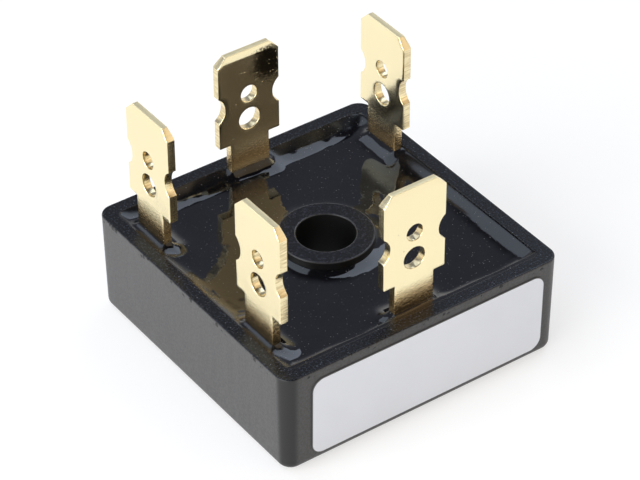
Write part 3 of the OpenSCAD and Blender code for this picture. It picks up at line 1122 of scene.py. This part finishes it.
@dataclass
class CompoundSurface:
    """The potting compound, whose surface climbs the walls, the necks and the bushing."""

    cavity_half: float
    inner_r: float
    bushing_r: float
    flat_z: float
    places: list[TerminalPlace]
    neck: Pair
    floor_z: float = 6.0
    wall_rise: float = 0.93
    neck_rise: float = 0.85
    neck_reach: float = 0.77
    bushing_rise: float = 0.36
    bushing_reach: float = 0.85
    right_reach: float = 1.045
    left_reach: float = 0.935
    left_step: float = 0.28
    back_reach: float = 1.5
    ledge: float = 0.4
    pitch: float = 0.26
    clear: float = 1.05
    beside: Sequence[float] = (0.05, 0.11, 0.19, 0.29, 0.41, 0.53, 0.65, 0.77, 0.9)

    def neck_frame(self, place: TerminalPlace) -> tuple[Array, Array, Array]:
        """A neck's centre and its directions along and out from the wall."""
        along = np.array([math.cos(place.turn), math.sin(place.turn)])
        outward = np.array([-along[1], along[0]])
        return along * place.along + outward * (place.out - self.neck[1]), along, outward

    def neck_distance(self, xy: Array, place: TerminalPlace) -> Array:
        """Distance from points to a neck's outline."""
        centre, along, outward = self.neck_frame(place)
        u = np.abs((xy - centre) @ along) - self.neck[0]
        v = np.abs((xy - centre) @ outward) - self.neck[1]
        return np.hypot(np.maximum(u, 0), np.maximum(v, 0)) + np.minimum(np.maximum(u, v), 0)

    def height(self, xy: Array) -> Array:
        """The surface's height at points of the plane."""
        x, y = xy.T
        right, left, back, front = (
            np.maximum(self.cavity_half + side, 0) for side in (-x, x, -y, y)
        )
        wobble = 1 + 0.05 * np.sin(0.9 * x + 0.4) * np.cos(0.7 * y)
        rest = 1 - 0.80 * np.exp(-((right / (self.right_reach * wobble)) ** 1.25))
        slow = (0.985 - self.left_step) * np.exp(-left / (self.left_reach * wobble))
        rest *= 1 - self.left_step * np.exp(-left / 0.10) - slow
        reach = 1 + 0.08 * np.sin(1.3 * x + 0.5) + 0.02 * np.sin(3.7 * x)
        rest *= 1 - 0.98 * (1 - np.clip(back / (self.back_reach * reach), 0, 1)) ** 1.3
        edge = self.ledge * (1 + 0.12 * np.sin(0.9 * x) * np.sin(0.4 * x + 1.0))
        share = np.clip((front - edge) / 0.5, 0, 1)
        rest *= share * share * (3 - 2 * share)
        around = np.maximum(np.hypot(x, y) - self.bushing_r, 0)
        climb = self.wall_rise * (1 - rest)
        climb = self._meet(climb, self.bushing_rise * np.exp(-around / self.bushing_reach))
        for place in self.places:
            away = np.maximum(self.neck_distance(xy, place), 0)
            climb = self._meet(climb, self.neck_rise * np.exp(-away / self.neck_reach))
        return self.flat_z + climb

    def _meet(self, first: Array, second: Array) -> Array:
        """Joins two climbs so that neither passes the wall's own."""
        limit = self.wall_rise * 1.02
        left = (1 - np.minimum(climb / limit, 1) for climb in (first, second))
        return limit * (1 - math.prod(left))

    def outlines(self) -> list[Array]:
        """The cavity's outline, then the bushing's and the necks'."""
        half = (self.cavity_half, self.cavity_half)
        lines = [rounded_loop(half, self.inner_r, 0.0, 8, 120)[:, :2], circle(self.bushing_r, 128)]
        u = np.outer((-1, 1, 1, -1), self.neck[0])
        v = np.outer((-1, -1, 1, 1), self.neck[1])
        for place in self.places:
            centre, along, outward = self.neck_frame(place)
            lines.append(even_steps(centre + u * along + v * outward, 0.15, 2))
        return lines

    def clear_of(self, xy: Array, margin: float) -> Array:
        """Which points lie inside the compound by at least a margin."""
        keep = np.max(np.abs(xy), axis=1) < self.cavity_half - margin
        if margin < self.inner_r:
            off = np.maximum(np.abs(xy) - self.cavity_half + self.inner_r, 0)
            keep &= np.hypot(off[:, 0], off[:, 1]) < self.inner_r - margin + 1e-9
        keep &= np.hypot(xy[:, 0], xy[:, 1]) > self.bushing_r + margin
        for place in self.places:
            keep &= self.neck_distance(xy, place) > margin
        return keep

    def loose_points(self, lines: Sequence[Array]) -> Array:
        """Points inside the surface: rows beside each outline, then a staggered grid."""
        rows = []
        for number, line in enumerate(lines):
            for distance in self.beside:
                ring = offset_inwards(line, distance, number > 0)
                rows.append(ring[self.clear_of(ring, distance - 0.02)])
        grid = np.arange(-self.cavity_half, self.cavity_half, self.pitch)
        x, y = np.meshgrid(grid, grid * 0.866)
        x[1::2] += self.pitch / 2
        flat = np.column_stack([x.ravel(), y.ravel()])
        every = np.vstack([*rows, flat[self.clear_of(flat, self.clear)]])
        cells = np.round(every / 0.055).astype(int)
        return every[np.sort(np.unique(cells, axis=0, return_index=True)[1])]

    def build(self, resin: Material) -> None:
        """Makes the compound as a closed block in its resin."""
        lines = self.outlines()
        xy, over = triangulate(lines, self.loose_points(lines))
        border, under = triangulate(lines)
        top = np.column_stack([xy, self.height(xy)])
        count = len(top)
        faces = list(over)
        for loop in numbered(lines):
            faces += ring_faces(loop, loop + count)
        faces += [(a + count, c + count, b + count) for a, b, c in under]
        points = np.vstack([top, lifted(border, self.floor_z)])
        piece = make_piece("potting_compound", points, faces, sharp=60)
        dress(piece, resin, Slot.COMPOUND, "potting")


@dataclass
class BlankLabel:
    """The blank label, a thin plate on the case's drafted front."""

    box: Box
    front: Callable[[float], float]
    corner_r: float = 1.2
    thickness: float = 0.1
    edge_r: float = 0.03
    border: float = 0.07

    @property
    def half(self) -> Array:
        """Half of the width and height."""
        return (self.box.high - self.box.low)[[0, 2]] / 2

    def on_border(self, vertex: Any) -> bool:
        """Whether a vertex lies in the outer rows, which are darker."""
        off = np.abs(np.array(vertex.co) / MM - self.box.middle)[[0, 2]] - self.half
        inner = np.maximum(off + self.corner_r, 0.0)
        depth = self.corner_r - np.hypot(*inner) if inner.all() else min(-off)
        return bool(depth < self.border + 0.01)

    def build(self, film: Material) -> None:
        """Makes the label in its film."""
        middle, full = self.box.middle, self.thickness
        rows = [(0.0, 0.0), (0.0, full - self.edge_r)]
        rows += [(back, full - down) for back, down in quarter_round(self.edge_r, 3)[1:]]
        rows += [(self.border, full), (self.border + 0.04, full)]
        loops = [rounded_loop(self.half - d, self.corner_r - d, t, side=40) for d, t in rows]
        local, faces = loft(loops, closed=False)
        z = middle[2] + local[:, 1]
        y = np.array([-self.front(h) for h in z]) - local[:, 2]
        piece = make_piece("blank_label", np.column_stack([middle[0] + local[:, 0], y, z]), faces)
        mark(piece, "border", self.on_border)
        dress(piece, film, Slot.LABEL, "label")


@dataclass
class BasePlate:
    """The rolled metal plate that the module is cooled through."""

    box: Box
    bore_r: float
    corner_r: float = 1.0
    edge_r: float = 0.12
    flat: float = 0.1

    def build(self, metal: Material) -> None:
        """Makes the plate in its metal."""
        half, low, top = self.box.half, self.box.foot, self.box.top
        outer = [(0.0, top)] + [(back, low + up) for back, up in quarter_round(self.edge_r, 3)]
        outer.append((self.edge_r + self.flat, low))
        loops = [rounded_loop((half - d, half - d), self.corner_r - d, z) for d, z in outer]
        angle = np.arctan2(loops[0][:, 1], loops[0][:, 0])
        ring = np.column_stack([np.cos(angle), np.sin(angle)])
        bore, e = self.bore_r, self.edge_r
        hole = [(bore + e + self.flat, low), (bore + e, low), (bore, low + e), (bore, top)]
        points, faces = loft(loops + [lifted(ring * r, z) for r, z in hole])
        dress(make_piece("base_plate_metal", points, faces), metal, Slot.PLATE, "base_plate")


@dataclass
class RimFlash:
    """Torn nibs of moulding flash along the left edge of the case's rim.

    They lie within a reach to either side of the edge's middle.
    """

    box: Box
    reach: float
    count: int = 60
    share: float = 0.3
    size: float = 0.06
    least: Point = (0.5, 0.6, 0.4)
    most: Point = (0.9, 2.6, 0.9)

    def edge(self) -> Object:
        """The rim's edge on the left side as a line of points."""
        draws = np.random.default_rng(SEED).uniform(-self.reach, self.reach, self.count)
        ys = np.sort(draws)
        mesh = bpy.data.meshes.new("rim_flash")
        x, z = -(self.box.half - 0.06) * MM, (self.box.top - 0.05) * MM
        mesh.from_pydata([(x, y * MM, z) for y in ys.tolist()], [], [])
        return add_to_scene("rim_flash", mesh)

    def tree(self) -> NodeTree:
        """Builds the tree that sets a nib on some of the points."""
        inputs = {"Points": "Geometry", "Share": "Float", "Size": "Float", "Seed": "Int"}
        inputs["Plastic"] = "Material"
        g, given = node_group("Geometry", "scatter_nibs", inputs, {"Nibs": "Geometry"})
        nib = g.add("GeometryNodeMeshIcoSphere", {"Radius": given["Size"], "Subdivisions": 2})
        chance = {"Probability": given["Share"], "Seed": given["Seed"]}
        chosen = g.add("FunctionNodeRandomValue", chance, data_type="BOOLEAN")
        sizes = {0: self.least, 1: self.most, "Seed": given["Seed"]}
        scale = g.add("FunctionNodeRandomValue", sizes, data_type="FLOAT_VECTOR")
        spread = {"Points": given["Points"], "Selection": chosen[3]}
        spread |= {"Instance": nib["Mesh"], "Scale": scale[0]}
        nibs = g.add("GeometryNodeInstanceOnPoints", spread)[0]
        return close_tree(g, nibs, given["Plastic"])

    def build(self, plastic: Material) -> None:
        """Makes the nibs in the pale plastic of torn flash."""
        piece = self.edge()
        values = {"Share": self.share, "Size": self.size * MM, "Seed": SEED, "Plastic": plastic}
        bake_nodes(piece, self.tree(), values)
        dress(piece, plastic, Slot.CASE)


@dataclass(frozen=True)
class Softbox:
    """A soft rectangular lamp, in metres and watts."""

    name: str
    place: Point
    size: Pair
    power: float
    tint: Colour = WHITE


COOL, WARM = (0.74, 0.84, 1.0), (1.0, 0.77, 0.46)
SOFTBOXES = (
    Softbox("top_left_softbox", (-0.19, 0.22, 0.5), (0.60, 0.36), 1.0, COOL),
    Softbox("top_right_softbox", (0.35, 0.13, 0.46), (0.34, 0.28), 0.65, COOL),
    Softbox("left_softbox", (-0.42, -0.06, 0.2), (0.5, 0.35), 2.25),
    Softbox("front_softbox", (0.21, -0.29, 0.28), (0.36, 0.34), 0.3, WARM),
)


@dataclass
class Studio:
    """A pale floor, soft lamps, a plain world and the camera."""

    focus: Vector
    azimuth: float = -35.38
    elevation: float = 37.89
    roll: float = -0.30
    distance: float = 0.25496
    lens: float = 166.4
    haze: Colour = (0.25, 0.27, 0.34)
    zenith: Colour = (0.03, 0.03, 0.04)
    fill: float = 0.33
    paint: float = 0.46
    glow: float = 0.59
    side: float = 3.0
    drop: float = 0.02

    @staticmethod
    def seen(g: Graph) -> Wire:
        """1 for the rays that show a thing, straight, mirrored or through glass."""
        path = g.add("LightPath")
        direct = g.peak(path["Is Camera Ray"], path["Is Glossy Ray"])
        return g.peak(direct, path["Is Transmission Ray"])

    def floor(self) -> None:
        """A wide floor that shows white and keeps the object's shadow."""
        mesh = bpy.data.meshes.new("studio_floor")
        signs = ((-1, -1), (1, -1), (1, 1), (-1, 1))
        corners = [(self.side * x, self.side * y, -self.drop * MM) for x, y in signs]
        mesh.from_pydata(corners, [], [(0, 1, 2, 3)])
        material = bpy.data.materials.new("studio_floor")
        material.use_nodes = True
        g = Graph(material.node_tree)
        paint = g.add("BsdfDiffuse", {"Color": scaled(WHITE, self.paint)})
        glow = g.add("Emission", {"Strength": self.seen(g) * self.glow})
        both = g.add("AddShader", {0: paint[0], 1: glow[0]})
        g.add("OutputMaterial", {"Surface": both[0]})
        mesh.materials.append(material)
        add_to_scene("studio_floor", mesh)

    def world(self) -> None:
        """White at the horizon, cool grey above, dark overhead, and a plain grey light."""
        world = bpy.data.worlds.new("studio")
        world.use_nodes = True
        bpy.context.scene.world = world
        g = Graph(world.node_tree)
        up = g.add("SeparateXYZ", {0: g.add("TexCoord")["Generated"]})["Z"]
        white_to, haze_from, haze_to, dark_from = (
            math.sin(math.radians(angle)) for angle in (12, 30, 45, 55)
        )
        rising = g.mix(g.ramp(up, white_to, haze_from), WHITE, self.haze)
        shown = g.mix(g.ramp(up, haze_to, dark_from), rising, self.zenith)
        colour = g.mix(self.seen(g), scaled(WHITE, self.fill), shown)
        glow = g.add("Background", {"Color": colour, "Strength": 1.0})
        g.add("OutputWorld", {"Surface": glow[0]})

    def lamp(self, softbox: Softbox) -> None:
        """Hangs a lamp that faces the object."""
        light = bpy.data.lights.new(softbox.name, "AREA")
        light.shape = "RECTANGLE"
        light.size, light.size_y = softbox.size
        light.energy, light.color = softbox.power, softbox.tint
        lamp = add_to_scene(softbox.name, light)
        lamp.location = softbox.place
        aim = self.focus - Vector(softbox.place)
        lamp.rotation_euler = aim.to_track_quat("-Z", "Y").to_euler()

    def camera(self) -> None:
        """The camera, level but for a slight roll."""
        a, e, r = (math.radians(v) for v in (self.azimuth, self.elevation, self.roll))
        back = Vector((math.sin(a) * math.cos(e), -math.cos(a) * math.cos(e), math.sin(e)))
        right = (-back).cross(Vector((0, 0, 1))).normalized()
        up = right.cross(-back)
        data = bpy.data.cameras.new("camera")
        data.lens, data.sensor_width = self.lens, 36.0
        data.clip_start, data.clip_end = 0.01, 20.0
        camera = add_to_scene("camera", data)
        turn = Matrix((right, up, back)).transposed() @ Matrix.Rotation(r, 3, "Z")
        place = Matrix.Translation(self.focus + back * self.distance)
        camera.matrix_world = place @ turn.to_4x4()
        bpy.context.scene.camera = camera

    def build(self) -> None:
        """Sets up the floor, the world, the lamps and the camera."""
        self.floor()
        self.world()
        for softbox in SOFTBOXES:
            self.lamp(softbox)
        self.camera()
        bpy.context.scene.view_settings.view_transform = "Standard"
        LOG.info("studio: floor, world, %d lamps and the camera", len(SOFTBOXES))


FINISHES = {
    Slot.COMPOUND: PottingResin("potting_resin"),
    Slot.LABEL: LabelFilm("label_film"),
    Slot.GOLD: GoldPlate("gold_plate"),
    Slot.PLATE: SheetMetal("rolled_aluminium", (0.80, 0.81, 0.82), (0.62, 0.63, 0.65)),
    Slot.COPPER: SheetMetal("bare_copper", (0.86, 0.47, 0.30), (0.55, 0.27, 0.17)),
    Slot.CERAMIC: FiredBody("alumina", (0.82, 0.81, 0.77), (0.74, 0.73, 0.69), 0.45),
    Slot.SILICON: FiredBody("silicon_die", (0.16, 0.17, 0.19), (0.10, 0.11, 0.13), 0.25),
}
TORN_PLASTIC = FiredBody("torn_plastic", (0.012, 0.012, 0.014), (0.05, 0.05, 0.055), 0.5)
TERMINALS = ("ac_terminal_1", "ac_terminal_2", "ac_terminal_3", "plus_terminal", "minus_terminal")
HIDDEN = {
    Slot.CERAMIC: ["insulator"],
    Slot.COPPER: ["plus_bus", "minus_bus"] + [f"phase_strap_{i}" for i in (1, 2, 3)],
    Slot.SILICON: [f"{sign}_diode_{i}" for sign in ("plus", "minus") for i in (1, 2, 3)],
}
WALL_T = 1.35
COMPOUND_DROP = 1.0
FOCUS = (0.53, 1.64, 8.0)


def build_outside(effects: Effects, frame: dict[str, Any]) -> None:
    """Builds every piece that shows, in order."""
    case_box, bushing_box = Box.of("case"), Box.of("bushing")
    cavity_half = case_box.half - WALL_T
    mounts = frame["record"]["mounts"]
    bore_r = next(m["dims"]["r_mm"] for m in mounts if m["name"] == "screw_hole")
    case_plastic = MouldedPlastic(
        "case_plastic",
        # painted light and shade: one plastic, its sides painted paler and its rim far darker
        side=(0.064, 0.063, 0.063),
        rim=(0.002, 0.0023, 0.0032),
        rim_z=case_box.top,
        # where the painted shade on the front upright corner starts
        shaded_corner_from=12.85,
        edge_at=case_box.half,
        inner_to=cavity_half + 0.25,
    )
    bushing_plastic = MouldedPlastic(
        "bushing_plastic",
        side=(0.001, 0.001, 0.001),
        rim=(0.002, 0.002, 0.003),
        rim_z=bushing_box.top,
        side_roughness=0.5,
        rim_roughness=0.26,
        sparkle=0.1,
    )
    case = MouldedCase(case_box, cavity_half)
    case.build(case_plastic.build(effects))
    RimFlash(case_box, case_box.half - case.corner_r).build(TORN_PLASTIC.build(effects))
    CentreBushing(bushing_box, bore_r).build(bushing_plastic.build(effects))
    terminals = BladeTerminals([TerminalPlace.of(node) for node in TERMINALS])
    terminals.build(FINISHES[Slot.GOLD].build(effects))
    CompoundSurface(
        cavity_half=cavity_half,
        inner_r=case.inner_r,
        bushing_r=bushing_box.half,
        flat_z=case_box.top - COMPOUND_DROP,
        places=terminals.places,
        neck=(terminals.neck_width / 2, terminals.thickness / 2),
    ).build(FINISHES[Slot.COMPOUND].build(effects))
    BlankLabel(Box.of("label"), case.side).build(FINISHES[Slot.LABEL].build(effects))
    BasePlate(Box.of("base_plate"), bore_r).build(FINISHES[Slot.PLATE].build(effects))


def paint_inside(effects: Effects, frame: dict[str, Any]) -> None:
    """Gives the solids that the compound hides their finishes."""
    for slot, names in HIDDEN.items():
        material = FINISHES[slot].build(effects)
        for name in names:
            materials = frame["nodes"][name].data.materials
            materials.clear()
            materials.append(material)
        LOG.info("%s: %s", slot.value, ", ".join(names))


def main() -> None:
    """Builds every sub-assembly in order."""
    logging.basicConfig(level=logging.INFO, format="%(name)s: %(message)s")
    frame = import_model()
    effects = Effects()
    build_outside(effects, frame)
    paint_inside(effects, frame)
    Studio(Vector(FOCUS) * MM).build()


if __name__ == "__main__":
    main()
